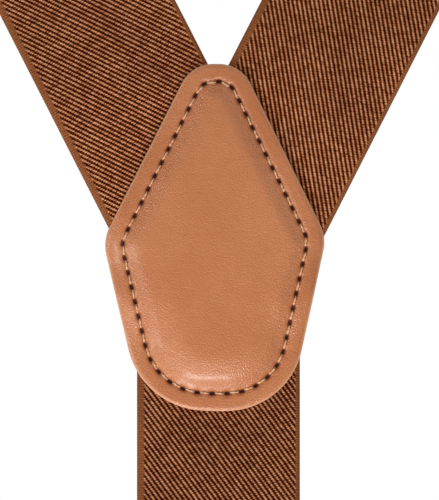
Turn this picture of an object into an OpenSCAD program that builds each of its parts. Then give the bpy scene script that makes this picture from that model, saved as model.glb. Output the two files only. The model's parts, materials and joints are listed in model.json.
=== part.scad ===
// Y-back suspenders in the shape they hang in when worn: the wearer faces +Y, up is +Z,
// and the origin lies midway between the undersides of the two straps on top of the shoulders.

/* [Webbing] */
// Width of the elastic webbing
strap_w = 38; // [34:0.5:38]
// Thickness of the elastic webbing
strap_t = 1.7; // [1.2:0.1:1.8]

/* [Way over the shoulder] */
// Tilt of each shoulder strap from vertical at the yoke, in degrees
yoke_angle = 27; // [20:1:32]
// Distance from the middle of the wearer to the back and front straps
half_depth = 95; // [85:1:115]
// Radius of the strap on top of the shoulder
crest_r = 80; // [65:1:84]
// Turn of the strap over the shoulder blade, in degrees
blade_angle = 40; // [30:1:48]
// Height above the yoke's middle at which the straps start to bend forward
flat_rise = 34; // [30:1:60]

/* [Heights] */
// Height at which the elastic stretch of the front straps is lumped, upper end
chest_top = -134; // [-140:1:-134]
// The same stretch, lower end
chest_end = -225; // [-235:1:-215]
// Middle of the length adjusters
adjuster_z = -300; // [-320:1:-290]
// Lower end of the plain front strap
front_end = -385; // [-395:1:-375]
// Height at which the loop hands over to the returning strap
return_join = -360; // [-370:1:-350]
// Upper bar of the three clip rings
ring_z = -420; // [-440:1:-415]
// Upper end of the back strap's lumped stretch
back_stretch_top = -235; // [-245:1:-225]
// Lower end of the back strap's lumped stretch
back_stretch_end = -355; // [-365:1:-345]
// Length of the back strap's end that is folded up and sewn
back_fold = 34; // [25:1:45]

/* [Leather yoke] */
// Sideways offset of the leather on the straps
yoke_shift = -0.75; // [-1.5:0.05:1.5]
// Thickness of the outer leather
patch_t = 1.5; // [1:0.1:2]
// Height of the patch's crown over its border
crown = 1.1; // [0.5:0.1:1.5]
// Thickness of the lining leather
lining_t = 1.2; // [0.8:0.1:1.6]
// Distance of the seam from the leather's edge
seam_inset = 4.1; // [3:0.1:5]
// Length of one stitch with its hole
stitch_pitch = 3.45; // [3:0.05:4.5]
// Thickness of the sewing thread
thread_d = 0.6; // [0.4:0.1:0.8]

/* [Clip rings] */
// Thickness of the ring wire
ring_wire = 3; // [2.4:0.1:3]
// Gap between the two layers of strap that pass round a ring, middle to middle
loop_gap = 5.6; // [5.4:0.1:6]
// Height of a ring between its two bars
ring_h = 12; // [11:0.5:14]
// Distance between the middles of the ring's side wires
ring_w = 42.4; // [42:0.1:44]
// Length of the ring's lower bar, middle to middle of its corners
ring_foot = 29; // [29:0.1:31]

/* [Clips] */
// Width of the clip's steel plate
clip_w = 26; // [26:0.5:26.5]
// Length of the clip below its ring
clip_len = 42; // [40:1:46]
// Thickness of the clip's sheet steel
sheet = 1; // [0.8:0.1:1]
// Gap between the toothed grips when the clip is shut
grip_gap = 0.6; // [0.4:0.1:1]

/* [Hidden] */
$fn = 48;

webbing_colour = "#6f3d27";
leather_colour = "#c47f57";
thread_colour = "#c9a77c";
steel_colour = "#b9bbbd";
grip_colour = "#26221f";

// The strap is a flat band wound aslant on an arch, so it lies smooth with no stretch.
// The arch's axis slopes down outward by fall, which leaves the front straps vertical.
fall = yoke_angle / 2;
blade_r = (half_depth - crest_r * cos(blade_angle)) / (1 - cos(blade_angle));
blade_len = blade_r * blade_angle * PI / 180;
crest_len = crest_r * (90 - blade_angle) * PI / 180;
arch_len = 2 * (blade_len + crest_len);
arch_h = blade_r * sin(blade_angle) + crest_r * (1 - sin(blade_angle));
flat_s = flat_rise / cos(yoke_angle);
start_x = flat_rise * tan(yoke_angle);
start_z = arch_len / 2 * tan(fall) * sin(fall) - arch_h * cos(fall) + strap_t / 2 * cos(fall);
yoke_z = start_z - flat_rise;
front_x = start_x + arch_len * sin(fall);

// Layers, as the Y of each one's middle
layer_gap = 0.1;
shoulder_y = -half_depth;
back_y = shoulder_y + strap_t + layer_gap;
patch_y = shoulder_y - strap_t / 2 - layer_gap;
lining_y = back_y + strap_t / 2 + layer_gap;
front_y = half_depth;
return_y = front_y - loop_gap;
bar_inset = loop_gap / 2;

// Leather outline round the yoke's middle: x, z and radius of each corner
leather_corners = [
    [5.95, 46.6, 8.2], [25.9, 6.3, 9.5], [17.2, -33.7, 18], [0, -34.3, 50],
    [-17.1, -33.2, 18.5], [-26.2, 5.5, 10], [-5.5, 46.6, 8.2]
];

// Length adjuster, measured from the strap's middle layer and its own middle height
adjuster_pin_y = 3.4;
adjuster_pin_z = 6;
adjuster_pin_r = 0.8;
cam_r = 2.2;
cheek_x = 20.6;
cheek_t = 1;
anchor_z = -4;
anchor_r = 0.7;
anchor_gap = 3.5;
tail_len = 16;

// Clip, measured from the ring's lower bar, outward as +Y
wire_fit = 0.1;
pin_fit = 0.08;
tube_r = ring_wire / 2 + wire_fit + sheet;
jaw_pin = [1.2, -7];
jaw_pin_r = 1;
jaw_y = 2.8;
lever_pin = [7, -14];
lever_pin_r = 0.8;
lever_boss_r = 1.7;
cam_reach = 2.9;
cover_y = 9.2;
grip_top = -30;
play = 0.3;

function unit(v) = v / norm(v);

// Turn of the arch at a distance u along it, in degrees: 0 up the back, 180 down the front
function arch_turn(u) =
    u <= 0 ? 0 :
    u < blade_len ? u / blade_r * 180 / PI :
    u < arch_len - blade_len ? blade_angle + (u - blade_len) / crest_r * 180 / PI :
    u < arch_len ? 180 - (arch_len - u) / blade_r * 180 / PI :
    180;

// Place on the arch at a distance u, as Y and height over the arch's start
function arch_at(u) =
    let (turn = arch_turn(u))
    u <= 0 ? [-half_depth, u] :
    u < blade_len ? [blade_r * (1 - cos(turn)) - half_depth, blade_r * sin(turn)] :
    u < arch_len - blade_len ? [-crest_r * cos(turn), arch_h + crest_r * (sin(turn) - 1)] :
    u < arch_len ? [half_depth - blade_r * (1 + cos(turn)), blade_r * sin(turn)] :
    [half_depth, arch_len - u];

// Point of the shoulder strap at s along it from the yoke's middle, v across it, lift off its middle
function strap_point(side, s, v, lift) =
    let (
        u = (s - flat_s) * cos(fall) - v * sin(fall),
        along = (s - flat_s) * sin(fall) + v * cos(fall),
        turn = arch_turn(u),
        spot = arch_at(u),
        y = spot[0] - lift * cos(turn),
        h = spot[1] + lift * sin(turn)
    )
    [side * (start_x + along * cos(fall) + h * sin(fall)), y, start_z - along * sin(fall) + h * cos(fall)];

// Distance along the strap at which its middle reaches a height on the front
function front_s(z) = flat_s + start_z + arch_len * cos(fall) - z;

// Points of a rounded outline from corners given as x, z and radius
function rounded(corners, steps = 10) = [
    for (i = [0 : len(corners) - 1])
        let (
            n = len(corners),
            here = [corners[i][0], corners[i][1]],
            r = corners[i][2],
            before = unit([corners[(i + n - 1) % n][0], corners[(i + n - 1) % n][1]] - here),
            after = unit([corners[(i + 1) % n][0], corners[(i + 1) % n][1]] - here),
            half = acos(before * after) / 2,
            middle = here + unit(before + after) * r / sin(half),
            from = here + before * r / tan(half) - middle,
            to = here + after * r / tan(half) - middle,
            swing = 180 - 2 * half
        )
        for (k = [0 : steps])
            middle + (from * sin(swing * (1 - k / steps)) + to * sin(swing * k / steps)) / sin(swing)
];

// The same corners, each moved inward along its bisector by an inset, for the seam
function inset_corners(corners, inset) = [
    for (i = [0 : len(corners) - 1])
        let (
            n = len(corners),
            here = [corners[i][0], corners[i][1]],
            before = unit([corners[(i + n - 1) % n][0], corners[(i + n - 1) % n][1]] - here),
            after = unit([corners[(i + 1) % n][0], corners[(i + 1) % n][1]] - here),
            half = acos(before * after) / 2,
            moved = here + unit(before + after) * inset / sin(half)
        )
        [moved[0], moved[1], max(corners[i][2] - inset, 2)]
];

// Distance run along a closed line up to each of its points
function run_up(line) = [
    for (i = 0, d = 0; i <= len(line); d = d + norm(line[(i + 1) % len(line)] - line[i % len(line)]), i = i + 1) d
];

// Lays a profile drawn as Y and Z across the strap, centred on X
module across(width) {
    rotate([90, 0, 90]) linear_extrude(width, center = true) children();
}

// Lays an outline drawn as X and Z flat against the back, from Y to Y + thickness
module against_back(y, thickness) {
    translate([0, y + thickness, 0]) rotate([90, 0, 0]) linear_extrude(thickness) children();
}

module yoke_frame() {
    translate([yoke_shift, 0, yoke_z]) children();
}

// Yoke

module yoke_patch() {
    step = 0.8;
    color(leather_colour) yoke_frame() {
        against_back(patch_y - patch_t, patch_t) polygon(rounded(leather_corners));
        against_back(patch_y - patch_t - crown, crown + patch_t / 2)
            polygon(rounded(inset_corners(leather_corners, seam_inset + step)));
    }
}

module yoke_lining() {
    color(leather_colour) yoke_frame()
        against_back(lining_y, lining_t) polygon(rounded(leather_corners));
}

module yoke_stitching() {
    line = rounded(inset_corners(leather_corners, seam_inset));
    run = run_up(line);
    count = round(run[len(line)] / stitch_pitch);
    pitch = run[len(line)] / count;
    rod = pitch * 0.72;
    lie = patch_y - patch_t - thread_d / 2 + 0.02;
    color(thread_colour) yoke_frame()
        for (k = [0 : count - 1]) {
            at = (k + 0.5) * pitch;
            i = search(1, [for (d = run) d > at ? 1 : 0])[0] - 1;
            a = line[i % len(line)];
            b = line[(i + 1) % len(line)];
            spot = a + unit(b - a) * (at - run[i]);
            translate([spot[0], lie, spot[1]])
                rotate([0, atan2(b[0] - a[0], b[1] - a[1]), 0])
                    cylinder(d = thread_d, h = rod, center = true, $fn = 16);
        }
}

// Webbing

// Runs from its mitred end inside the yoke, over the shoulder, to the chest
module shoulder_strap(side) {
    end_s = -20;
    mitre_gap = 0.2;
    rings = 56;
    last_s = front_s(chest_top);
    places = [for (i = [0 : rings]) end_s + (last_s - end_s) * i / rings];
    points = [
        for (s = places)
            let (inner = max(-strap_w / 2, mitre_gap - s * tan(yoke_angle)))
            each [
                strap_point(side, s, inner, strap_t / 2),
                strap_point(side, s, strap_w / 2, strap_t / 2),
                strap_point(side, s, strap_w / 2, -strap_t / 2),
                strap_point(side, s, inner, -strap_t / 2)
            ]
    ];
    walls = [
        for (i = [0 : rings - 1], k = [0 : 3])
            let (a = 4 * i + k, b = 4 * i + (k + 1) % 4)
            side > 0 ? [a, b, b + 4, a + 4] : [a + 4, b + 4, b, a]
    ];
    first = [3, 2, 1, 0];
    last = [4 * rings, 4 * rings + 1, 4 * rings + 2, 4 * rings + 3];
    ends = side > 0 ? [first, last] : [[0, 1, 2, 3], [last[3], last[2], last[1], last[0]]];
    color(webbing_colour) polyhedron(points, concat(walls, ends));
}

module front_run(side, top, bottom) {
    color(webbing_colour)
        translate([side * front_x - strap_w / 2, front_y - strap_t / 2, bottom])
            cube([strap_w, strap_t, top - bottom]);
}

// Profile of a strap that comes down on one layer, turns round a bar and goes up on the other
module turned_strap(gap, down_len, up_len) {
    difference() {
        circle(r = (gap + strap_t) / 2);
        circle(r = (gap - strap_t) / 2);
        translate([-gap, 0]) square([2 * gap, gap]);
    }
    translate([(gap - strap_t) / 2, 0]) square([strap_t, down_len]);
    translate([-(gap + strap_t) / 2, 0]) square([strap_t, up_len]);
}

module strap_loop(side) {
    color(webbing_colour) translate([side * front_x, front_y - bar_inset, ring_z])
        across(strap_w) turned_strap(loop_gap, front_end - ring_z, return_join - ring_z);
}

// The returning strap slants up to the front strap and over the adjuster's anchor bar; its tail hangs inside
module strap_return(side) {
    bar_y = return_y + anchor_gap / 2;
    bar_z = adjuster_z + anchor_z;
    upright = 20;
    join = bar_z - return_join;
    near = (anchor_gap - strap_t) / 2;
    color(webbing_colour) translate([side * front_x, bar_y, bar_z])
        rotate([180, 0, 180]) across(strap_w) {
            turned_strap(anchor_gap, upright, tail_len);
            polygon([[near, upright], [near + strap_t, upright], [-near, join], [-near - strap_t, join]]);
        }
}

// Rows of thread that hold a folded end, on the face at y
module stitch_rows(y, rows, count) {
    pitch = (strap_w - 8) / count;
    rod = pitch * 0.7;
    color(thread_colour)
        for (z = rows, k = [0 : count - 1])
            translate([(k + 0.5 - count / 2) * pitch, y, z]) rotate([0, 90, 0])
                cylinder(d = thread_d, h = rod, center = true, $fn = 16);
}

module return_stitching(side) {
    face = return_y - strap_t / 2 - thread_d / 2 + 0.02;
    below = adjuster_z + anchor_z - tail_len;
    translate([side * front_x, 0, 0]) stitch_rows(face, [below + 3, below + 6], 11);
}

module back_strap() {
    shoulder_z = 10;
    top_z = 24;
    top_w = 12;
    color(webbing_colour) against_back(back_y - strap_t / 2, strap_t)
        polygon([
            [-strap_w / 2, back_stretch_top], [strap_w / 2, back_stretch_top],
            [strap_w / 2, yoke_z + shoulder_z], [top_w, yoke_z + top_z],
            [-top_w, yoke_z + top_z], [-strap_w / 2, yoke_z + shoulder_z]
        ]);
}

module back_stretch_strap() {
    color(webbing_colour) translate([-strap_w / 2, back_y - strap_t / 2, back_stretch_end])
        cube([strap_w, strap_t, back_stretch_top - back_stretch_end]);
}

module back_strap_end() {
    color(webbing_colour) translate([0, back_y + bar_inset, ring_z]) rotate([0, 0, 180])
        across(strap_w) turned_strap(loop_gap, back_stretch_end - ring_z, back_fold);
}

module back_end_stitching() {
    face = back_y - strap_t / 2 - thread_d / 2 + 0.02;
    rows = [ring_z + back_fold - 4, ring_z + back_fold - 8, ring_z + back_fold - 18, ring_z + back_fold - 22];
    stitch_rows(face, rows, 11);
}

// Length adjuster

module at_adjuster(side) {
    translate([side * front_x, front_y, adjuster_z]) children();
}

// Two cheeks joined by the bridge behind the strap and by the anchor bar
module adjuster_frame(side) {
    cheek_back = -4.6;
    cheek_front = 1.5 + adjuster_pin_y;
    bridge_back = -2.15;
    bridge_z = 1;
    bar_y = return_y + anchor_gap / 2 - front_y;
    outer_x = cheek_x + cheek_t;
    color(steel_colour) at_adjuster(side) {
        for (x = [-1, 1]) difference() {
            translate([x * (cheek_x + cheek_t / 2), 0, 0]) across(cheek_t)
                polygon([
                    [cheek_back, anchor_z - 4], [-1.6, anchor_z - 4], [cheek_front, adjuster_pin_z - 6],
                    [cheek_front, adjuster_pin_z + 2.6], [2.4, adjuster_pin_z + 4.4], [cheek_back, adjuster_pin_z + 4.4]
                ]);
            translate([0, adjuster_pin_y, adjuster_pin_z]) rotate([0, 90, 0])
                cylinder(r = adjuster_pin_r, h = 60, center = true);
        }
        translate([-outer_x, bridge_back, bridge_z]) cube([2 * outer_x, 1, adjuster_pin_z + 4.4 - bridge_z]);
        translate([0, bar_y, anchor_z]) rotate([0, 90, 0])
            cylinder(r = anchor_r, h = 2 * outer_x - 0.4, center = true);
    }
}

module adjuster_pin(side) {
    color(steel_colour) at_adjuster(side) translate([0, adjuster_pin_y, adjuster_pin_z])
        rotate([0, 90, 0]) cylinder(r = adjuster_pin_r, h = 2 * (cheek_x + cheek_t) + 0.8, center = true);
}

// Cover and toothed cam in one, turning on the pin
module adjuster_lever(side) {
    cover_in = 1.8;
    cover_t = 0.9;
    cover_top = -1.8;
    cover_len = 19;
    cover_w = 46;
    neck_w = 2 * (cheek_x - play);
    color(steel_colour) at_adjuster(side) translate([0, adjuster_pin_y, adjuster_pin_z]) {
        difference() {
            across(neck_w) {
                difference() {
                    circle(r = cam_r);
                    for (k = [-2 : 2]) rotate(k * 26 - 90) translate([0, -cam_r]) rotate(45)
                        square(0.7, center = true);
                }
                translate([0, cover_top - 1]) square([cover_in + cover_t, 1 - cover_top]);
            }
            rotate([0, 90, 0]) cylinder(r = adjuster_pin_r + pin_fit, h = 60, center = true);
        }
        translate([0, cover_in + cover_t, 0]) rotate([90, 0, 0]) linear_extrude(cover_t)
            polygon(rounded([
                [cover_w / 2, cover_top, 1.5], [cover_w / 2, -cover_len, 4],
                [-cover_w / 2, -cover_len, 4], [-cover_w / 2, cover_top, 1.5]
            ], 6));
    }
}

// Clips: where is "left", "right" or "back"

function side_of(where) = where == "left" ? -1 : where == "right" ? 1 : 0;

module at_ring(where) {
    back = where == "back";
    translate([side_of(where) * front_x, back ? back_y + bar_inset : front_y - bar_inset, ring_z])
        rotate([0, 0, back ? 180 : 0]) children();
}

module at_clip(where) {
    at_ring(where) translate([0, 0, -ring_h]) children();
}

// Bent wire: a rod between each two corners and a ball at each corner
module clip_ring(where) {
    knee = -5.5;
    corners = [
        [ring_w / 2, 0], [ring_w / 2, knee], [ring_foot / 2, -ring_h],
        [-ring_foot / 2, -ring_h], [-ring_w / 2, knee], [-ring_w / 2, 0]
    ];
    color(steel_colour) at_ring(where)
        for (i = [0 : len(corners) - 1]) {
            a = corners[i];
            b = corners[(i + 1) % len(corners)];
            translate([a[0], 0, a[1]]) {
                sphere(d = ring_wire);
                rotate([0, atan2(b[0] - a[0], b[1] - a[1]), 0]) cylinder(d = ring_wire, h = norm(b - a));
            }
        }
}

module cross_hole(spot, r) {
    translate([0, spot[0], spot[1]]) rotate([0, 90, 0]) cylinder(r = r, h = 60, center = true);
}

// Back plate rolled round the ring's lower bar, with an ear on each side for the two pins
module clip_plate(where) {
    plate_back = -tube_r;
    ear_r = 1.9;
    color(steel_colour) at_clip(where) {
        difference() {
            across(clip_w - 0.8) {
                circle(r = tube_r);
                translate([plate_back, -grip_gap - 4]) square([sheet, 4 + grip_gap]);
            }
            cross_hole([0, 0], ring_wire / 2 + wire_fit);
        }
        translate([-clip_w / 2, plate_back, -clip_len]) cube([clip_w, sheet, clip_len - 3]);
        for (x = [-1, 1]) difference() {
            translate([x * (clip_w - sheet) / 2, 0, 0]) across(sheet) {
                polygon([
                    [plate_back, -4.6], [jaw_pin[0], -4.8], [lever_pin[0] + 1.4, lever_pin[1] + 1.3],
                    [lever_pin[0] + 0.9, lever_pin[1] - 1.7], [plate_back + sheet, -25], [plate_back, -25]
                ]);
                translate(lever_pin) circle(r = ear_r);
            }
            cross_hole(jaw_pin, jaw_pin_r);
            cross_hole(lever_pin, lever_pin_r);
        }
    }
}

module clip_pin(where, spot, r) {
    color(steel_colour) at_clip(where) translate([0, spot[0], spot[1]]) rotate([0, 90, 0])
        cylinder(r = r, h = clip_w + 1, center = true);
}

// Front jaw, hung on the upper pin like a door
module clip_jaw(where) {
    barrel_r = 2;
    jaw_w = clip_w - 2 * sheet - 2 * play;
    plate_w = 20;
    color(steel_colour) at_clip(where) difference() {
        union() {
            across(jaw_w) translate(jaw_pin) circle(r = barrel_r);
            across(plate_w) polygon([
                [jaw_pin[0] + 0.4, jaw_pin[1]], [jaw_pin[0] + 1.9, jaw_pin[1]], [jaw_y + sheet, jaw_pin[1] - 3.4],
                [jaw_y + sheet, -clip_len + 1], [jaw_y, -clip_len + 1], [jaw_y, jaw_pin[1] - 3]
            ]);
        }
        cross_hole(jaw_pin, jaw_pin_r + pin_fit);
    }
}

// Lever whose cam presses the jaw shut and whose cover lies over the clip
module clip_lever(where) {
    neck_w = clip_w - 2 * sheet - 2 * play;
    cover_w = clip_w + 1;
    cover_top = -2.2;
    cover_end = -clip_len - lever_pin[1];
    cover_in = cover_y - lever_pin[0];
    lobe_r = 0.9;
    color(steel_colour) at_clip(where) translate([0, lever_pin[0], lever_pin[1]]) {
        difference() {
            across(neck_w) {
                circle(r = lever_boss_r);
                translate([lobe_r - cam_reach, 0]) circle(r = lobe_r);
                translate([lobe_r - cam_reach, -lobe_r]) square([cam_reach - lobe_r, 2 * lobe_r]);
                polygon([
                    [0, -lever_boss_r], [0.8, 1.5], [cover_in + sheet, 0],
                    [cover_in + sheet, cover_top - 1], [cover_in, cover_top - 1]
                ]);
            }
            rotate([0, 90, 0]) cylinder(r = lever_pin_r + pin_fit, h = 60, center = true);
        }
        translate([0, cover_in + sheet, 0]) rotate([90, 0, 0]) linear_extrude(sheet)
            polygon(rounded([
                [cover_w / 2, cover_top, 1.5], [cover_w / 2, cover_end, 6],
                [-cover_w / 2, cover_end, 6], [-cover_w / 2, cover_top, 1.5]
            ], 6));
        across(12) polygon([
            [cover_in + sheet / 2, cover_end], [cover_in + sheet, cover_end], [cover_in + 3, cover_end - 2],
            [cover_in + 3, cover_end - 1], [cover_in + sheet, cover_end + 1.5], [cover_in + sheet / 2, cover_end + 1.5]
        ]);
    }
}

// Profile of a toothed grip: its flat back at 0, its teeth towards +Y
module grip_profile(depth, phase) {
    height = clip_len + grip_top - 1;
    teeth = 5;
    pitch = height / teeth;
    tooth = 0.5;
    polygon(concat(
        [[0, -height], [depth - tooth, -height]],
        [for (k = [0 : teeth - 1], c = [0, 1]) [depth - tooth * (1 - c), -height + (k + phase * (c + 1) / 2) * pitch]],
        [[depth - tooth, 0], [0, 0]]
    ));
}

module plate_grip(where) {
    depth = (jaw_y + tube_r - sheet - grip_gap) / 2;
    color(grip_colour) at_clip(where) translate([0, sheet - tube_r, grip_top])
        across(22) grip_profile(depth, 1);
}

module jaw_grip(where) {
    depth = (jaw_y + tube_r - sheet - grip_gap) / 2;
    color(grip_colour) at_clip(where) translate([0, jaw_y, grip_top])
        rotate([0, 0, 180]) across(22) grip_profile(depth, 1);
}

// Leaf spring that pushes the jaw open when the lever lets go
module clip_spring(where) {
    foot = sheet - tube_r;
    leaf = 0.4;
    color(steel_colour) at_clip(where) across(7) polygon([
        [foot, -28], [foot + leaf, -28], [foot + leaf, -23.2], [jaw_y - play - 0.1, -14],
        [jaw_y - play - 0.5, -13.6], [foot, -22.6]
    ]);
}

yoke_patch();
yoke_lining();
yoke_stitching();
shoulder_strap(-1);  // left_shoulder_strap
front_run(-1, chest_top, chest_end);  // left_chest_strap
front_run(-1, chest_end, front_end);  // left_front_strap
strap_loop(-1);  // left_strap_loop
strap_return(-1);  // left_strap_return
return_stitching(-1);  // left_return_stitching
adjuster_frame(-1);  // left_adjuster_frame
adjuster_lever(-1);  // left_adjuster_lever
adjuster_pin(-1);  // left_adjuster_pin
clip_ring("left");  // left_ring
clip_plate("left");  // left_clip_plate
clip_jaw("left");  // left_clip_jaw
clip_lever("left");  // left_clip_lever
clip_pin("left", jaw_pin, jaw_pin_r);  // left_jaw_pin
clip_pin("left", lever_pin, lever_pin_r);  // left_lever_pin
plate_grip("left");  // left_plate_grip
jaw_grip("left");  // left_jaw_grip
clip_spring("left");  // left_clip_spring
shoulder_strap(1);  // right_shoulder_strap
front_run(1, chest_top, chest_end);  // right_chest_strap
front_run(1, chest_end, front_end);  // right_front_strap
strap_loop(1);  // right_strap_loop
strap_return(1);  // right_strap_return
return_stitching(1);  // right_return_stitching
adjuster_frame(1);  // right_adjuster_frame
adjuster_lever(1);  // right_adjuster_lever
adjuster_pin(1);  // right_adjuster_pin
clip_ring("right");  // right_ring
clip_plate("right");  // right_clip_plate
clip_jaw("right");  // right_clip_jaw
clip_lever("right");  // right_clip_lever
clip_pin("right", jaw_pin, jaw_pin_r);  // right_jaw_pin
clip_pin("right", lever_pin, lever_pin_r);  // right_lever_pin
plate_grip("right");  // right_plate_grip
jaw_grip("right");  // right_jaw_grip
clip_spring("right");  // right_clip_spring
back_strap();
back_stretch_strap();
back_strap_end();
back_end_stitching();
clip_ring("back");  // back_ring
clip_plate("back");  // back_clip_plate
clip_jaw("back");  // back_clip_jaw
clip_lever("back");  // back_clip_lever
clip_pin("back", jaw_pin, jaw_pin_r);  // back_jaw_pin
clip_pin("back", lever_pin, lever_pin_r);  // back_lever_pin
plate_grip("back");  // back_plate_grip
jaw_grip("back");  // back_jaw_grip
clip_spring("back");  // back_clip_spring
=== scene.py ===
import json
import math

import bmesh
import bpy
import numpy as np
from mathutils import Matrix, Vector


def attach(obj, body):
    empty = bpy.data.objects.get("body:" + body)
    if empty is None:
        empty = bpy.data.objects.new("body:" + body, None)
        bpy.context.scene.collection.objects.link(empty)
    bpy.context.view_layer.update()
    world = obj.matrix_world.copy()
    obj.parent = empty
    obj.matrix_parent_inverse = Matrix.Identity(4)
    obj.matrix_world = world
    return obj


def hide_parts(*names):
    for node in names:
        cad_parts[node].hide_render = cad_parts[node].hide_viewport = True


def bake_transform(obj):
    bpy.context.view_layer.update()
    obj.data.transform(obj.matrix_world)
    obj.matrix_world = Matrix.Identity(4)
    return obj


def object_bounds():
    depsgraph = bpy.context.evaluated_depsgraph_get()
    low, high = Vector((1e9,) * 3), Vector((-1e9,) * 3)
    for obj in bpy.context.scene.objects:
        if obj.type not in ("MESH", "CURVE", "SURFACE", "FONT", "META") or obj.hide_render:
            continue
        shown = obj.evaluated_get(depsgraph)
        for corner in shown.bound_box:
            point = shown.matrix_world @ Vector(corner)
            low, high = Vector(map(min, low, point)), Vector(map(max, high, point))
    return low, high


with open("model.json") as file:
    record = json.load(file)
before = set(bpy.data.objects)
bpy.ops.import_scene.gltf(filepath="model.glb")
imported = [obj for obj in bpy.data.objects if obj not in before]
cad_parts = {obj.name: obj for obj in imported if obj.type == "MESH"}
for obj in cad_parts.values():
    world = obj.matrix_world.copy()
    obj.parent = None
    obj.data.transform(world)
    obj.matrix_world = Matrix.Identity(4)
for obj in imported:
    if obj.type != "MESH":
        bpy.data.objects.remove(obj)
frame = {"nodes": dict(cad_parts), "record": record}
cadBox = [list(corner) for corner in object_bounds()]
mm = 0.001
print("frame loaded")

# Lengths in this file are millimetres until a point goes into a mesh, which holds metres.
# On every strap, s runs along the webbing from the yoke, v runs across it, and lift is height over its middle.

strapRun = {
    "width": 38,
    "thickness": 1.7,
    "yokeAngle": 27,        # tilt of each shoulder strap from vertical
    "halfDepth": 95,        # from the wearer's middle to the back and front straps
    "crestRadius": 80,
    "bladeAngle": 40,
    "flatRise": 34,         # height over the yoke's middle where the straps start to bend
    "mitreEnd": -20,        # the straps end this far past the crossing, under the leather
    "handover": -300,       # height at which the upper piece of a front strap meets the lower
    "ringZ": -420,
    "loopGap": 5.6,         # between the two layers round a ring
    "returnStart": -404,    # height at which the loop meets the returning strap
    "anchorZ": -304,
    "anchorGap": 3.5,
    "tail": 16,
    "backFold": 34,
    "layerGap": 0.1,
    "sewnSlack": 0.05,
    "ringLead": 2,          # straight run beside the ring before the strap drifts over
    "easeRun": 24,          # height in which the returning strap drifts over to the front layer
    "tailEase": (0.5, 8),   # depths under the bar at which the tail leaves it and meets the strap
    "foldEase": (1, 11),    # the same for the back strap's fold, over the ring
    "yokeTop": 24,          # the back strap's upper end, over the yoke's middle
    "chestTop": -134,       # where the stretch of a front strap starts
    "chestStretch": 85.5,
    "pullAngle": 20,        # of that stretch from vertical
    "loopBlend": (-312, -403),
    "returnBlend": (-403, -324),
    "backBlend": (-235, -355),
}

halfWidth = strapRun["width"] / 2
halfThick = strapRun["thickness"] / 2
yokeTilt = math.radians(strapRun["yokeAngle"])
fall = yokeTilt / 2
blade = math.radians(strapRun["bladeAngle"])
crestR = strapRun["crestRadius"]
halfDepth = strapRun["halfDepth"]
bladeR = (halfDepth - crestR * math.cos(blade)) / (1 - math.cos(blade))
bladeLen = bladeR * blade
archLen = 2 * (bladeLen + crestR * (math.pi / 2 - blade))
archH = bladeR * math.sin(blade) + crestR * (1 - math.sin(blade))
flatS = strapRun["flatRise"] / math.cos(yokeTilt)
startX = strapRun["flatRise"] * math.tan(yokeTilt)
startZ = archLen / 2 * math.tan(fall) * math.sin(fall) - archH * math.cos(fall)
startZ += halfThick * math.cos(fall)
yokeZ = startZ - strapRun["flatRise"]
frontX = startX + archLen * math.sin(fall)
backOut = halfDepth - strapRun["thickness"] - strapRun["layerGap"]
sewnGap = strapRun["thickness"] + strapRun["sewnSlack"]


def smooth(low, high, value):
    t = np.clip((np.asarray(value, float) - low) / (high - low), 0, 1)
    return t * t * (3 - 2 * t)


def srgb(red, green, blue):
    # a colour given in 0..255, as linear light
    parts = [c / 255 for c in (red, green, blue)]
    return tuple(c / 12.92 if c <= 0.04045 else ((c + 0.055) / 1.055) ** 2.4 for c in parts) + (1,)


# the way of the straps
def archAt(u):
    # turn, depth and height at a distance u along the arch: bend, crest, and bend again
    spans = [u <= 0, u < bladeLen, u < archLen - bladeLen, u < archLen]
    turn = np.select(spans, [0 * u, u / bladeR, blade + (u - bladeLen) / crestR,
                             math.pi - (archLen - u) / bladeR], math.pi)
    depth = np.select(spans, [-halfDepth + 0 * u, bladeR * (1 - np.cos(turn)) - halfDepth,
                              -crestR * np.cos(turn), halfDepth - bladeR * (1 + np.cos(turn))], halfDepth)
    height = np.select(spans, [u, bladeR * np.sin(turn), archH + crestR * (np.sin(turn) - 1),
                               bladeR * np.sin(turn)], archLen - u)
    return turn, depth, height


def overShoulder(side):
    # the strap's surface from the yoke over the shoulder and down the front
    def place(s, v, lift):
        u = (s - flatS) * math.cos(fall) - v * math.sin(fall)
        along = (s - flatS) * math.sin(fall) + v * math.cos(fall)
        turn, depth, height = archAt(u)
        depth = depth - lift * np.cos(turn)
        height = height + lift * np.sin(turn)
        x = side * (startX + along * math.cos(fall) + height * math.sin(fall))
        z = startZ - along * math.sin(fall) + height * math.cos(fall)
        return np.stack([x, depth, z], -1) * mm
    return place


def frontS(z):
    return flatS + startZ + archLen * math.cos(fall) - z


def straight(a, b):
    spacing = 0.25
    steps = max(int(math.dist(a, b) / spacing), 2)
    return [(a[0] + (b[0] - a[0]) * k / steps, a[1] + (b[1] - a[1]) * k / steps) for k in range(steps + 1)]


def bend(middle, radius, fromAngle, toAngle):
    steps = max(int(abs(toAngle - fromAngle) / 4), 4)
    angles = [math.radians(fromAngle + (toAngle - fromAngle) * k / steps) for k in range(steps + 1)]
    return [(middle[0] + radius * math.cos(a), middle[1] + radius * math.sin(a)) for a in angles]


def easeOver(a, b):
    # goes from height a to height b while it drifts from one layer to the other
    steps = 120
    line = []
    for k in range(steps + 1):
        t = k / steps
        line.append((a[0] + (b[0] - a[0]) * t * t * (3 - 2 * t), a[1] + (b[1] - a[1]) * t))
    return line


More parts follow.
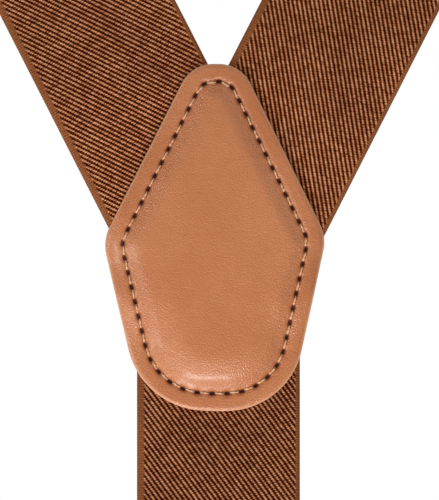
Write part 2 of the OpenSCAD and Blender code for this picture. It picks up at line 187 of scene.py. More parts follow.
def followLine(line, startS, facing, x0, side):
    # line holds (outward, height) points; facing is 1 on the wearer's front and -1 on the back
    points = [line[0]]
    for p in line[1:]:
        if math.dist(p, points[-1]) > 1e-4:
            points.append(p)
    points = np.array(points)
    steps = np.linalg.norm(np.diff(points, axis=0), axis=1)
    run = np.concatenate([[0], np.cumsum(steps)])
    heading = np.gradient(points, run, axis=0)
    heading /= np.linalg.norm(heading, axis=1)[:, None]

    def place(s, v, lift):
        d = s - startS
        out, z = np.interp(d, run, points[:, 0]), np.interp(d, run, points[:, 1])
        hOut, hZ = np.interp(d, run, heading[:, 0]), np.interp(d, run, heading[:, 1])
        length = np.hypot(hOut, hZ)
        out = out - lift * hZ / length
        z = z + lift * hOut / length
        return np.stack([x0 + side * v, facing * out, z], -1) * mm
    return place, run[-1]


webbing = {
    "ribPitch": 1.003,      # across the ribs
    "ribAngle": math.radians(36.4),
    "ribProfile": [(0, -0.36), (0.12, -0.2), (0.3, -0.02), (0.5, 0.03), (0.7, -0.02), (0.88, -0.2)],
    "wideSelvedge": 1.75,
    "narrowSelvedge": 1.05,
    "selvedgeLift": -0.1,
    "bandGap": 0.15,        # half the step between a plain band and the ribs
    "edgePoints": (0, 0.22, 0.6),
    "edgeRound": (0, 0.62, 1, 1),
    "mitreGap": 0.2,
    "columns": 11,
    "bendColumns": 20,
    "bendCrowding": 5.5,
}
ribRun = webbing["ribPitch"] / math.sin(webbing["ribAngle"])


def ribLift(phase):
    profile = webbing["ribProfile"] + [(1, webbing["ribProfile"][0][1])]
    return np.interp(phase % 1, [p for p, _ in profile], [lift for _, lift in profile])


def acrossColumns(rowStart, slope, inner, columns, bends):
    # where the columns cross each row, closer together where the strap bends
    low, high = inner
    fine = np.linspace(low, high, 241)
    s = rowStart[:, None] + slope * fine[None, :]
    density = np.ones_like(s)
    for start, end in bends:
        density += webbing["bendCrowding"] * smooth(start - 2, start, s) * (1 - smooth(end, end + 2, s))
    filled = np.cumsum((density[:, 1:] + density[:, :-1]) / 2, axis=1)
    filled = np.concatenate([np.zeros((len(s), 1)), filled], 1)
    filled /= filled[:, -1:]
    wanted = np.linspace(0, 1, columns)
    return np.array([np.interp(wanted, row, fine) for row in filled])


def clothFaces(cut):
    # two layers of faces that share both long edges, joined by a wall along each cut end
    rows, cols = cut.shape
    index = np.arange(rows * cols).reshape(rows, cols)
    under = index + rows * cols
    under[:, 0], under[:, -1] = index[:, 0], index[:, -1]
    above = np.stack([index[:-1, :-1], index[:-1, 1:], index[1:, 1:], index[1:, :-1]], -1).reshape(-1, 4)
    below = np.stack([under[:-1, :-1], under[1:, :-1], under[1:, 1:], under[:-1, 1:]], -1).reshape(-1, 4)
    # a face is left out when all its corners lie past the same end
    state = cut.reshape(-1)[above]
    keep = ~((state[:, 0] > 0) & (state == state[:, :1]).all(1))
    faces = np.concatenate([above[keep], below[keep]])
    # an edge with one face lies on a cut end
    edges = np.concatenate([faces[:, [k, (k + 1) % 4]] for k in range(4)])
    _, where, counts = np.unique(np.sort(edges, 1), axis=0, return_inverse=True, return_counts=True)
    single = edges[counts[where.reshape(-1)] == 1]
    upper = single[(single < rows * cols).all(1)]
    upper = upper[~((upper[:, :1] % cols == 0) & (upper[:, 1:] % cols == 0)).any(1)]
    under = under.reshape(-1)
    walls = np.stack([upper[:, 1], upper[:, 0], under[upper[:, 0]], under[upper[:, 1]]], -1)
    return np.concatenate([faces, walls])


def weave(name, place, sFrom, sTo, hand, wideSide, bends=(), mitred=False, flip=1):
    # rows of points run along the ribs, so every rib is a real ridge on both faces
    slope = hand / math.tan(webbing["ribAngle"])
    reach = abs(slope) * halfWidth
    ribs = range(math.floor((sFrom - reach) / ribRun), math.ceil((sTo + reach) / ribRun) + 1)
    rowStart = np.array([(k + phase) * ribRun for k in ribs for phase, _ in webbing["ribProfile"]])
    rows = len(rowStart)
    bands = [webbing["wideSelvedge" if side == wideSide else "narrowSelvedge"] for side in (-1, 1)]
    step, edge = webbing["bandGap"], webbing["edgePoints"]
    columns = webbing["bendColumns" if bends else "columns"]
    ribbedWidth = (bands[0] + step - halfWidth, halfWidth - bands[1] - step)
    inside = acrossColumns(rowStart, slope, ribbedWidth, columns, bends)
    lowEdge = [x - halfWidth for x in (*edge, bands[0] - step)]
    highEdge = [halfWidth - x for x in (bands[1] - step, *reversed(edge))]
    v = np.concatenate([np.tile(lowEdge, (rows, 1)), inside, np.tile(highEdge, (rows, 1))], 1)
    edgeRound = np.array([*webbing["edgeRound"], *[1] * columns, *reversed(webbing["edgeRound"])])
    ribbed = np.array([0] * len(lowEdge) + [1] * columns + [0] * len(highEdge))
    s = rowStart[:, None] + slope * v
    cut = (s <= sFrom) * 1 + (s >= sTo) * 2
    s = np.clip(s, sFrom, sTo)
    if mitred:
        inner = webbing["mitreGap"] - s * math.tan(yokeTilt)
        cut = np.where(v < inner, 4, cut)
        v = np.maximum(v, inner)
    relief = ribLift((s - slope * v) / ribRun) * ribbed + webbing["selvedgeLift"] * (1 - ribbed)
    lift = (halfThick + relief) * edgeRound
    points = np.concatenate([place(s, v, lift).reshape(-1, 3), place(s, v, -lift).reshape(-1, 3)])
    mesh = bpy.data.meshes.new(name)
    mesh.from_pydata(points.tolist(), [], clothFaces(cut).tolist())
    # the cloth's own lengthwise and crosswise places carry the weave of its material
    cloth = np.stack([s.reshape(-1), hand * v.reshape(-1)], -1) * mm * flip
    cloth = np.concatenate([cloth, cloth])
    layer = mesh.uv_layers.new(name="cloth")
    loops = np.empty(len(mesh.loops), int)
    mesh.loops.foreach_get("vertex_index", loops)
    layer.data.foreach_set("uv", cloth[loops].reshape(-1))
    tidyMesh(mesh, 3e-6)
    mesh.materials.append(webbingMaterial(name.startswith("back")))
    return addPiece(name, mesh)


def tidyMesh(mesh, distance):
    work = bmesh.new()
    work.from_mesh(mesh)
    bmesh.ops.remove_doubles(work, verts=work.verts, dist=distance)
    bmesh.ops.dissolve_degenerate(work, dist=distance, edges=work.edges)
    loose = [v for v in work.verts if not v.link_faces]
    bmesh.ops.delete(work, geom=loose, context="VERTS")
    bmesh.ops.recalc_face_normals(work, faces=work.faces)
    work.to_mesh(mesh)
    work.free()
    mesh.shade_smooth()
    mesh.set_sharp_from_angle(angle=math.radians(70))


def addPiece(name, mesh):
    obj = bpy.data.objects.new(name, mesh)
    bpy.context.scene.collection.objects.link(obj)
    return obj


def addTube(name, points, faces, material):
    mesh = bpy.data.meshes.new(name)
    mesh.from_pydata(points, [], faces)
    tidyMesh(mesh, 1e-7)
    mesh.materials.append(material)
    return addPiece(name, mesh)


def ringBand(first, second, count):
    # faces between two closed rings of points
    return [(first + k, first + (k + 1) % count, second + (k + 1) % count, second + k) for k in range(count)]


class Wiring:
    # a short way to add and join nodes in one material
    def __init__(self, name):
        self.material = bpy.data.materials.new(name)
        self.material.use_nodes = True
        self.tree = self.material.node_tree
        self.surface = self.tree.nodes["Principled BSDF"]

    def add(self, kind, *inputs, **settings):
        node = self.tree.nodes.new(kind)
        for key, value in settings.items():
            setattr(node, key, value)
        for socket, value in zip(node.inputs, inputs):
            self.put(value, socket)
        return node

    def put(self, value, socket):
        if isinstance(value, bpy.types.Node):
            value = value.outputs[0]
        if isinstance(value, bpy.types.NodeSocket):
            self.tree.links.new(value, socket)
        elif value is not None:
            socket.default_value = value

    def math(self, operation, a, b=None):
        return self.add("ShaderNodeMath", a, b, operation=operation).outputs[0]

    def plus(self, a, b):
        return self.math("ADD", a, b)

    def minus(self, a, b):
        return self.math("SUBTRACT", a, b)

    def times(self, a, b):
        return self.math("MULTIPLY", a, b)

    def wave(self, turns, swing):
        # swings once about 0.5 for every whole turn
        return self.plus(self.times(self.math("COSINE", self.times(turns, math.tau)), swing), 0.5)

    def place(self):
        return self.add("ShaderNodeTexCoord").outputs["Object"]

    def fact(self, name):
        # a value that the mesh carries
        return self.add("ShaderNodeAttribute", attribute_name=name).outputs["Fac"]

    def mix(self, factor, a, b, blend="MIX"):
        node = self.add("ShaderNodeMix", factor, data_type="RGBA", blend_type=blend, clamp_factor=True)
        self.put(a, node.inputs[6])
        self.put(b, node.inputs[7])
        return node.outputs[2]

    def noise(self, vector, scale, detail=2, roughness=0.5):
        node = self.add("ShaderNodeTexNoise", vector)
        for socket, value in (("Scale", scale), ("Detail", detail), ("Roughness", roughness)):
            node.inputs[socket].default_value = value
        return node.outputs["Fac"]

    def ramp(self, value, stops):
        node = self.add("ShaderNodeValToRGB", value)
        points = node.color_ramp.elements
        while len(points) < len(stops):
            points.new(0.5)
        for point, (position, colour) in zip(points, stops):
            point.position = position
            point.color = colour
        return node.outputs[0]

    def between(self, value, low, high, toLow=0, toHigh=1):
        node = self.add("ShaderNodeMapRange", value, low, high, toLow, toHigh, interpolation_type="SMOOTHSTEP")
        return node.outputs[0]

    def bump(self, height, distance, strength):
        node = self.add("ShaderNodeBump", strength, distance)
        self.put(height, node.inputs["Height"])
        return node.outputs[0]

    def set(self, **values):
        for key, value in values.items():
            self.put(value, self.surface.inputs[key.replace("_", " ")])


made = {}


def shared(name, wire, *settings):
    # every material is wired once
    if name not in made:
        made[name] = wire(name, *settings)
    return made[name]


def webbingMaterial(back):
    # the back strap gets a darker copy of the webbing, which is painted shade
    if back:
        return shared("darkBrownTwillWebbing", wireWebbing, webbingLook["backPaintedShade"])
    return shared("brownTwillWebbing", wireWebbing, 1)


webbingLook = {
    # gap is painted shade for the grooves; the ribs lighten through side and crest to glint, a painted
    # highlight on their tops
    "gap": srgb(60, 10, 0),
    "side": srgb(132, 66, 18),
    "crest": srgb(206, 142, 102),
    "glint": srgb(236, 190, 156),
    "selvedge": srgb(146, 86, 44),
    "worn": srgb(120, 70, 40),
    # painted shade on the back strap's copy of the webbing
    "backPaintedShade": 0.74,
    "yarnPitch": 0.6,
    "yarnLean": 0.8,        # yarns that a float goes forward over the width of its rib
    "yarnStagger": 0.37,    # from one rib to the next
    "yarnWobble": 1.6,
    "pickPitch": 0.62,      # in the plain bands
    "edgeBlur": (0.1, 0.25),
    "ridgeShare": 0.64,     # shares of each in how light the yarn is
    "yarnShare": 0.42,
    "chanceShare": 0.2,
    "fibreShare": 0.35,
    "wobbleScale": 1400,
    "fibreScale": 5200,
    "wearScale": 60,
    "bumpDepth": 0.11,      # millimetres
    "roughness": 0.8,
}


def wireWebbing(name, paintedShade):
    w = Wiring(name)
    look = webbingLook
    cloth = w.add("ShaderNodeUVMap", uv_map="cloth")
    parts = w.add("ShaderNodeSeparateXYZ", cloth)
    s, v = parts.outputs[0], parts.outputs[1]
    perMm = 1 / mm
    sine, cosine = math.sin(webbing["ribAngle"]) * perMm, math.cos(webbing["ribAngle"]) * perMm
    across = w.minus(w.times(s, sine / webbing["ribPitch"]), w.times(v, cosine / webbing["ribPitch"]))
    along = w.plus(w.times(s, cosine / look["yarnPitch"]), w.times(v, sine / look["yarnPitch"]))
    rib, phase = w.math("FLOOR", across), w.math("FRACT", across)
    wobble = w.noise(cloth, look["wobbleScale"])
    fibre = w.noise(cloth, look["fibreScale"], 3, 0.6)
    # height on a rib: 0 in the gap, 1 on its crest; the ramp below turns it into painted shade and painted
    # highlight
    ridge = w.wave(phase, -0.5)
    # yarn floats lie along a rib, staggered from one rib to the next
    shift = w.plus(w.times(rib, look["yarnStagger"]), w.times(wobble, look["yarnWobble"]))
    floats = w.plus(w.plus(along, w.times(phase, look["yarnLean"])), shift)
    yarn = w.wave(floats, 0.5)
    cell = w.add("ShaderNodeCombineXYZ", rib, w.math("FLOOR", floats))
    chance = w.add("ShaderNodeTexWhiteNoise", cell, noise_dimensions="2D").outputs["Value"]
    bead = w.times(w.minus(yarn, 0.12), w.minus(1, w.times(ridge, 0.3)))
    level = w.plus(w.times(ridge, look["ridgeShare"]), w.times(bead, look["yarnShare"]))
    level = w.plus(level, w.times(w.minus(chance, 0.5), look["chanceShare"]))
    level = w.plus(level, w.times(w.minus(fibre, 0.5), look["fibreShare"]))
    # painted light: the ramp paints shade into the gaps and a highlight on the crests, mixed with the yarn and
    # fibre variation of the weave
    ribs = w.ramp(level, [(0.2, look["gap"]), (0.5, look["side"]), (0.74, look["crest"]), (1, look["glint"])])
    # plain bands along the two edges
    wideEdge, narrowEdge = halfWidth - webbing["wideSelvedge"], webbing["narrowSelvedge"] - halfWidth
    out, back = look["edgeBlur"]
    wide = w.between(v, (wideEdge - out) * mm, (wideEdge + back) * mm)
    narrow = w.between(v, (narrowEdge + out) * mm, (narrowEdge - back) * mm)
    plain = w.math("MAXIMUM", wide, narrow)
    picks = w.plus(w.times(s, math.tau * perMm / look["pickPitch"]), w.times(wobble, 5))
    picks = w.plus(w.times(w.math("SINE", picks), 0.5), 0.5)
    # painted shade between the picks, in the same dark colour as the gaps between the ribs
    band = w.mix(w.times(picks, 0.6), look["selvedge"], look["gap"])
    band = w.mix(w.between(fibre, 0.4, 0.75, 0, 0.6), band, look["crest"])
    colour = w.mix(plain, ribs, band)
    wear = w.between(w.noise(cloth, look["wearScale"], 3), 0.3, 0.75, 0, 0.22)
    colour = w.mix(wear, colour, look["worn"], "MULTIPLY")
    # painted shade: the back strap's copy is multiplied darker
    colour = w.mix(1, colour, (paintedShade, paintedShade * 0.96, paintedShade * 0.92, 1), "MULTIPLY")
    fuzz = w.times(fibre, 0.5)
    height = w.add("ShaderNodeMix", data_type="FLOAT")
    w.put(plain, height.inputs[0])
    w.put(w.plus(w.times(w.times(yarn, ridge), 0.7), fuzz), height.inputs[2])
    w.put(w.plus(w.times(picks, 0.6), fuzz), height.inputs[3])
    w.set(Base_Color=colour, Roughness=look["roughness"], Sheen_Weight=0.01, Sheen_Roughness=0.4,
          Specular_IOR_Level=0.07, Normal=w.bump(height.outputs[0], look["bumpDepth"] * mm, 0.8))
    return w.material


leatherLook = {
    "body": srgb(183, 107, 57),
    "light": srgb(193, 120, 72),
    "deep": srgb(169, 94, 48),
    "cutEdgeHighlight": srgb(216, 158, 118),
    "holeShade": srgb(74, 16, 2),
    "grainSize": 0.38,
    "stretchedGrain": 2,    # how much deeper the grain gets where the leather is stretched
    "poreScale": 3400,
    "creaseScale": 420,
    "cloudScale": 55,
    "bumpDepth": 0.13,
    "roughness": 0.35,
    "edgeRoughness": 0.25,  # added on the cut edge
}


def wireLeather(name):
    w = Wiring(name)
    look = leatherLook
    place = w.place()
    grain = w.add("ShaderNodeTexVoronoi", place, feature="SMOOTH_F1")
    grain.inputs["Scale"].default_value = 1 / (look["grainSize"] * mm)
    grain.inputs["Smoothness"].default_value = 0.6
    pores = w.noise(place, look["poreScale"], 3, 0.6)
    creases = w.noise(place, look["creaseScale"], 4, 0.62)
    clouds = w.noise(place, look["cloudScale"], 3)
    hole, rim, puff = w.fact("hole"), w.fact("rim"), w.fact("puff")
    colour = w.mix(w.between(clouds, 0.3, 0.72), look["body"], look["light"])
    colour = w.mix(w.between(creases, 0.35, 0.7, 0, 0.35), colour, look["deep"])
    # painted light: the raised crown is painted lighter than the sunk border round it
    colour = w.mix(w.times(puff, 0.45), colour, look["light"])
    colour = w.mix(w.between(pores, 0.55, 0.8, 0, 0.3), colour, look["deep"])
    # painted highlight along the rounded cut edge
    colour = w.mix(rim, colour, look["cutEdgeHighlight"])
    # painted shade in the stitch holes
    colour = w.mix(hole, colour, look["holeShade"])
    height = w.minus(w.times(pores, 0.5), grain.outputs["Distance"])
    height = w.plus(height, w.times(creases, 0.8))
    # the grain opens where the leather is stretched over the edge of the padding
    stretched = w.times(puff, w.minus(1, puff))
    height = w.times(height, w.plus(1, w.times(stretched, look["stretchedGrain"])))
    rough = w.between(pores, 0.3, 0.7, look["roughness"] - 0.07, look["roughness"] + 0.1)
    rough = w.plus(rough, w.times(w.plus(rim, w.times(hole, 2)), look["edgeRoughness"]))
    w.set(Base_Color=colour, Roughness=rough, Specular_IOR_Level=0.62, Coat_Weight=0.28, Coat_Roughness=0.24,
          Normal=w.bump(height, look["bumpDepth"] * mm, 0.9))
    return w.material


threadLook = {
    # dark, light, roughness and the colour it wears to
    "creamThread": (srgb(196, 148, 104), srgb(240, 204, 162), 0.5, srgb(196, 146, 102)),
    "brownThread": (srgb(66, 34, 18), srgb(112, 66, 40), 0.55, None),
}


def wireThread(name, dark, light, roughness, worn):
    w = Wiring(name)
    place = w.place()
    fibre = w.noise(place, 9000, 2)
    colour = w.mix(w.between(fibre, 0.3, 0.7), dark, light)
    if worn:
        colour = w.mix(w.between(w.noise(place, 260, 2), 0.45, 0.75, 0, 0.4), colour, worn)
    w.set(Base_Color=colour, Roughness=roughness, Sheen_Weight=0.2, Normal=w.bump(fibre, 0.00005, 0.6))
    return w.material


steelLook = {
    # scale of the brushing along x, y and z, then tone and roughness
    "satinNickel": ((1, 0.04, 1), (0.72, 0.7, 0.67, 1), 0.26),
    "polishedNickel": ((1, 1, 1), (0.76, 0.74, 0.71, 1), 0.17),
    "springSteel": ((0.1, 1, 1), (0.5, 0.5, 0.52, 1), 0.33),
}
scratchTone = (0.86, 0.85, 0.83, 1)


def wireSteel(name, brushed, tone, roughness):
    w = Wiring(name)
    place = w.place()
    stretch = w.add("ShaderNodeMapping", place)
    stretch.inputs["Scale"].default_value = brushed
    lines = w.noise(stretch, 5200, 3, 0.65)
    smears = w.noise(place, 140, 4, 0.6)
    scratches = w.noise(stretch, 900, 5, 0.7)
    colour = w.mix(w.between(smears, 0.35, 0.75), tone, tuple(c * 0.86 for c in tone[:3]) + (1,))
    colour = w.mix(w.between(scratches, 0.62, 0.72, 0, 0.25), colour, scratchTone)
    rough = w.plus(w.between(smears, 0.3, 0.75, roughness - 0.06, roughness + 0.1),
                   w.times(w.minus(lines, 0.5), 0.16))
    w.set(Base_Color=colour, Metallic=1.0, Roughness=rough, Normal=w.bump(lines, 0.00002, 0.35))
    return w.material


def wireNylon(name):
    w = Wiring(name)
    place = w.place()
    speckle = w.noise(place, 2600, 3, 0.6)
    scuff = w.noise(place, 300, 3)
    colour = w.mix(w.between(speckle, 0.4, 0.7), srgb(34, 28, 24), srgb(58, 48, 42))
    colour = w.mix(w.between(scuff, 0.6, 0.8, 0, 0.35), colour, srgb(92, 82, 74))
    w.set(Base_Color=colour, Roughness=w.between(scuff, 0.3, 0.7, 0.42, 0.62),
          Normal=w.bump(speckle, 0.00004, 0.6))
    return w.material


def partFinish(name):
    if name in steelLook:
        return shared(name, wireSteel, *steelLook[name])
    return shared(name, wireNylon)


view = {
    "distance": 1200,       # from the leather's face
    "frameHeight": 116.5,   # height that the view takes in at the leather's face
    "aside": 0.25,
    "above": 3.3,
}


def setCamera():
    lens = bpy.data.cameras.new("view")
    lens.sensor_width = 36
    lens.lens = lens.sensor_width * view["distance"] / view["frameHeight"]
    lens.clip_end = 20
    lens.dof.use_dof = False
    camera = bpy.data.objects.new("view", lens)
    camera.location = (view["aside"] * mm, -(halfDepth + view["distance"]) * mm, (yokeZ + view["above"]) * mm)
    camera.rotation_euler = (math.pi / 2, 0, 0)
    bpy.context.scene.collection.objects.link(camera)
    bpy.context.scene.camera = camera


lamps = {
    # name: place, aim, width, height, spread in degrees, watts
    "below": ((-0.07, -0.34, -0.5), (0, -0.09, -0.15), 0.26, 0.06, 60, 0.145),
    "lowLeft": ((-0.75, -0.6, -0.34), (0, -0.09, -0.15), 0.2, 0.2, 60, 0.185),
    "highRight": ((0.7, -0.9, 0.7), (0, 0, -0.15), 0.9, 0.9, 180, 2.4),
    "highLeft": ((-0.9, -0.6, 0.5), (0, 0, -0.2), 0.9, 0.9, 180, 0.9),
    "front": ((0.5, 1.3, 0.3), (0, 0.05, -0.25), 1.0, 1.0, 180, 6),
}
studio = {
    "backdrop": (1, 1, 1, 1),
    "light": (1, 0.99, 0.97, 1),
    "strength": 0.4,
    "floorRadius": 3,
    "floorDrop": 0.1,       # metres under the lowest point, which leaves room for the straps to stretch
    "floorGlow": 0.2,
    "floorTones": (srgb(240, 240, 238), srgb(248, 248, 247)),
}


def setLights():
    for name, (place, aim, width, height, spread, watts) in lamps.items():
        data = bpy.data.lights.new(name, "AREA")
        data.shape = "ELLIPSE"
        data.size, data.size_y = width, height
        data.spread = math.radians(spread)
        data.energy = watts
        lamp = bpy.data.objects.new(name, data)
        lamp.location = place
        lamp.visible_camera = False
        lamp.rotation_euler = (Vector(aim) - Vector(place)).to_track_quat("-Z", "Y").to_euler()
        bpy.context.scene.collection.objects.link(lamp)
    world = bpy.data.worlds.new("studio")
    bpy.context.scene.world = world
    world.use_nodes = True
    tree = world.node_tree
    seen = tree.nodes.new("ShaderNodeBackground")
    seen.inputs[0].default_value = studio["backdrop"]
    shed = tree.nodes["Background"]
    shed.inputs[0].default_value = studio["light"]
    shed.inputs[1].default_value = studio["strength"]
    ray = tree.nodes.new("ShaderNodeLightPath")
    choose = tree.nodes.new("ShaderNodeMixShader")
    tree.links.new(ray.outputs["Is Camera Ray"], choose.inputs[0])
    tree.links.new(shed.outputs[0], choose.inputs[1])
    tree.links.new(seen.outputs[0], choose.inputs[2])
    tree.links.new(choose.outputs[0], tree.nodes["World Output"].inputs[0])
    bpy.context.scene.view_settings.view_transform = "Standard"


def layFloor():
    mesh = bpy.data.meshes.new("floor")
    work = bmesh.new()
    bmesh.ops.create_circle(work, cap_ends=True, segments=96, radius=studio["floorRadius"])
    work.to_mesh(mesh)
    work.free()
    floor = addPiece("floor", mesh)
    floor.location.z = cadBox[0][2] - studio["floorDrop"]
    w = Wiring("paleFloor")
    w.set(Base_Color=w.mix(w.noise(w.place(), 3, 3), *studio["floorTones"]), Roughness=0.9,
          Emission_Color=studio["backdrop"], Emission_Strength=studio["floorGlow"])
    mesh.materials.append(w.material)


setCamera()
setLights()
layFloor()
print("camera and lights set")

ringZ = strapRun["ringZ"]
loopGap = strapRun["loopGap"]
anchorZ = strapRun["anchorZ"]
turnR = loopGap / 2
anchorR = strapRun["anchorGap"] / 2
innerOut = halfDepth - loopGap      # the returned layer of a front strap, behind its front layer
barOut = innerOut + anchorR
returnOut = barOut + anchorR


def weaveFrontStrap(side, word):
    handover, tail = strapRun["handover"], strapRun["tail"]
    x0 = side * frontX
    hand = wide = -side     # on both straps the wide band lies towards -X
    endS = frontS(handover)
    upper = weave(f"{word}_strap_upper", overShoulder(side), strapRun["mitreEnd"], endS, hand, wide,
                  mitred=True)
    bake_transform(upper)
    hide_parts(f"{word}_shoulder_strap", f"{word}_chest_strap", f"{word}_front_strap")

    # down to the ring, round it and up again; the adjuster's side starts at returnStart
    ringTop = ringZ + strapRun["ringLead"]
    easeEnd = ringTop + strapRun["easeRun"]
    rising = straight((innerOut, ringZ), (innerOut, ringTop))
    rising += easeOver((innerOut, ringTop), (returnOut, easeEnd))
    line = straight((halfDepth, handover), (halfDepth, ringZ))
    line += bend((halfDepth - turnR, ringZ), turnR, 0, -180)
    line += [p for p in rising if p[1] <= strapRun["returnStart"]]
    place, length = followLine(line, endS, 1, x0, side)
    bendS = endS + handover - ringZ
    loop = weave(f"{word}_strap_loop_woven", place, endS, endS + length, hand, wide,
                 bends=[(bendS, bendS + math.pi * turnR)])
    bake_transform(loop)
    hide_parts(f"{word}_strap_loop")

    # up to the adjuster, over its bar and down to the sewn end
    line = [line[-1]] + [p for p in rising if p[1] > strapRun["returnStart"]]
    line += straight((returnOut, easeEnd), (returnOut, anchorZ))
    line += bend((barOut, anchorZ), anchorR, 0, 180)
    leave, meet = (anchorZ - depth for depth in strapRun["tailEase"])
    sewnOut = returnOut - sewnGap
    line += easeOver((barOut - anchorR, leave), (sewnOut, meet))
    line += straight((sewnOut, meet), (sewnOut, anchorZ - tail))
    startS = endS + length
    place, backLength = followLine(line, startS, 1, x0, side)
    bendEnd = startS + backLength - tail
    back = weave(f"{word}_strap_return_woven", place, startS, startS + backLength, hand, wide,
                 bends=[(bendEnd - math.pi * anchorR, bendEnd)])
    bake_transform(back)
    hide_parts(f"{word}_strap_return")
    print(word, "strap woven", round(endS - strapRun["mitreEnd"]), round(length), round(backLength))


def weaveBackStrap():
    top = yokeZ + strapRun["yokeTop"]
    leave, meet = (ringZ + height for height in strapRun["foldEase"])
    sewnOut = backOut - sewnGap
    line = straight((backOut, top), (backOut, ringZ))
    line += bend((backOut - turnR, ringZ), turnR, 0, -180)
    line += easeOver((backOut - loopGap, leave), (sewnOut, meet))
    line += straight((sewnOut, meet), (sewnOut, ringZ + strapRun["backFold"]))
    startS = -strapRun["yokeTop"]
    place, length = followLine(line, startS, -1, 0, 1)
    bendS = startS + top - ringZ
    strap = weave("back_strap_woven", place, startS, startS + length, 1, -1,
                  bends=[(bendS, bendS + math.pi * turnR)], flip=-1)
    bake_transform(strap)
    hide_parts("back_strap", "back_stretch_strap", "back_strap_end")
    print("back strap woven", round(length))


sides = {"left": -1, "right": 1}
for word, side in sides.items():
    weaveFrontStrap(side, word)
weaveBackStrap()


yoke = {
    # x, z and radius of each corner
    "corners": [(5.95, 46.6, 8.2), (25.9, 6.3, 9.5), (17.2, -33.7, 18), (0, -34.3, 50),
                (-17.1, -33.2, 18.5), (-26.2, 5.5, 10), (-5.5, 46.6, 8.2)],
    "leastRadius": 1.5,
    "aside": -0.75,
    "thickness": 1.5,
    "liningThickness": 1.2,
    "seamInset": 4.1,
    "crown": 1.15,
    "crownRun": 4.2,
    "rimRound": 0.62,
    "liningCrown": 0.35,
    "liningRimRound": 0.35,
    "stitchPitch": 3.45,
    "perStitch": 14,
    "holeDepth": 0.85,
    "grooveDepth": 0.32,
    "settleSpread": 3.2,
    "settleRun": 9,
    "insets": (0, 0.08, 0.2, 0.35, 0.6, 1, 1.5, 2.2, 2.8, 3.2, 3.5, 3.7, 3.9, 4.1, 4.3, 4.5, 4.7, 5, 5.4),
    "heart": (0, 5),        # where the rings of the crown close
    "crownRings": 26,
    "holeReach": (0.5, 0.88),
    "grooveReach": 0.6,
    "waviness": 0.06,
    "tipRise": 0.012,       # of the crown's middle point
    # the border steps down from a strap to where there is none, between these places from the strap's edge
    "shoulderStep": (-2.6, 1.8),
    "backStep": (-2.2, 1.6),
    "liningStep": (-2.4, 1.6),
    "bareEdgeDip": 0.65,
    "liningDip": 1.1,
    "tautFrom": (22, 32),   # heights between which the border stops dipping, between the shoulder straps
    "tautShare": 0.85,
}
patchOut = halfDepth + halfThick + strapRun["layerGap"]
liningOut = backOut - halfThick - strapRun["layerGap"]


def unit(v):
    return v / np.linalg.norm(v)


def roundedCorner(corners, k, radius, inset=0):
    # the arc that rounds one corner, as (middle, radius, first angle, swing), for an outline moved inward
    here = corners[k]
    before = unit(corners[k - 1] - here)
    after = unit(corners[(k + 1) % len(corners)] - here)
    half = math.acos(float(np.clip(before @ after, -1, 1))) / 2
    inward = unit(before + after) / math.sin(half)
    start, end = (way * radius / math.tan(half) - inward * radius for way in (before, after))
    first = math.atan2(start[1], start[0])
    swing = (math.atan2(end[1], end[0]) - first + math.pi) % math.tau - math.pi
    return here + inward * (inset + radius), radius, first, swing


def arcPoint(arc, t):
    middle, radius, first, swing = arc
    return middle + radius * np.array([math.cos(first + swing * t), math.sin(first + swing * t)])


def outlineAt(inset, places):
    # places run 0..2 per corner: its arc, then the straight to the next corner
    corners = [np.array(c[:2], float) for c in yoke["corners"]]
    radii = [max(c[2] - inset, yoke["leastRadius"]) for c in yoke["corners"]]
    arcs = [roundedCorner(corners, k, radius, inset) for k, radius in enumerate(radii)]
    points = []
    for q in places:
        k, t = int(q // 2), q % 2
        if t < 1:
            points.append(arcPoint(arcs[k], t))
        else:
            points.append(arcPoint(arcs[k], 1) * (2 - t) + arcPoint(arcs[(k + 1) % len(arcs)], 0) * (t - 1))
    return np.array(points)


def evenPlaces(inset, count):
    dense = np.linspace(0, 2 * len(yoke["corners"]), 4001)
    line = outlineAt(inset, dense[:-1])
    line = np.vstack([line, line[:1]])
    run = np.concatenate([[0], np.cumsum(np.linalg.norm(np.diff(line, axis=0), axis=1))])
    return np.interp(np.linspace(0, run[-1], count, endpoint=False), run, dense), run[-1]


seamLength = evenPlaces(yoke["seamInset"], 10)[1]
stitchCount = round(seamLength / yoke["stitchPitch"])
stitchLength = seamLength / stitchCount
seamPlaces = evenPlaces(yoke["seamInset"], stitchCount * yoke["perStitch"])[0]
seamLine = outlineAt(yoke["seamInset"], seamPlaces)


def insideStrap(points):
    # how far inside the shoulder straps' outline a point lies, and how far inside the back strap's
    x, z = points[:, 0] + yoke["aside"], points[:, 1]
    best = np.full(len(points), -1e3)
    for side in (-1, 1):
        s = side * x * math.sin(yokeTilt) + z * math.cos(yokeTilt)
        v = side * x * math.cos(yokeTilt) - z * math.sin(yokeTilt)
        best = np.maximum(best, np.minimum(s - strapRun["mitreEnd"], halfWidth - abs(v)))
    return best, np.minimum(halfWidth - abs(x), strapRun["yokeTop"] - z)


def patchDip(points):
    shoulder, back = insideStrap(points)
    layer = strapRun["thickness"] + strapRun["layerGap"]
    bare = 1 - smooth(*yoke["shoulderStep"], shoulder)
    bare = bare * (1 - yoke["tautShare"] * smooth(*yoke["tautFrom"], points[:, 1]))
    alone = 1 - smooth(*yoke["backStep"], back)
    return -layer * bare - yoke["bareEdgeDip"] * bare * alone


def liningDip(points):
    _, back = insideStrap(points)
    return -yoke["liningDip"] * (1 - smooth(*yoke["liningStep"], back))


def evenOut(values, spread):
    # smooths values that run round the outline
    reach = np.arange(len(values))
    reach = np.minimum(reach, len(values) - reach) * stitchLength / yoke["perStitch"]
    weight = np.exp(-(reach / spread) ** 2 / 2)
    return np.real(np.fft.ifft(np.fft.fft(values) * np.fft.fft(weight / weight.sum())))


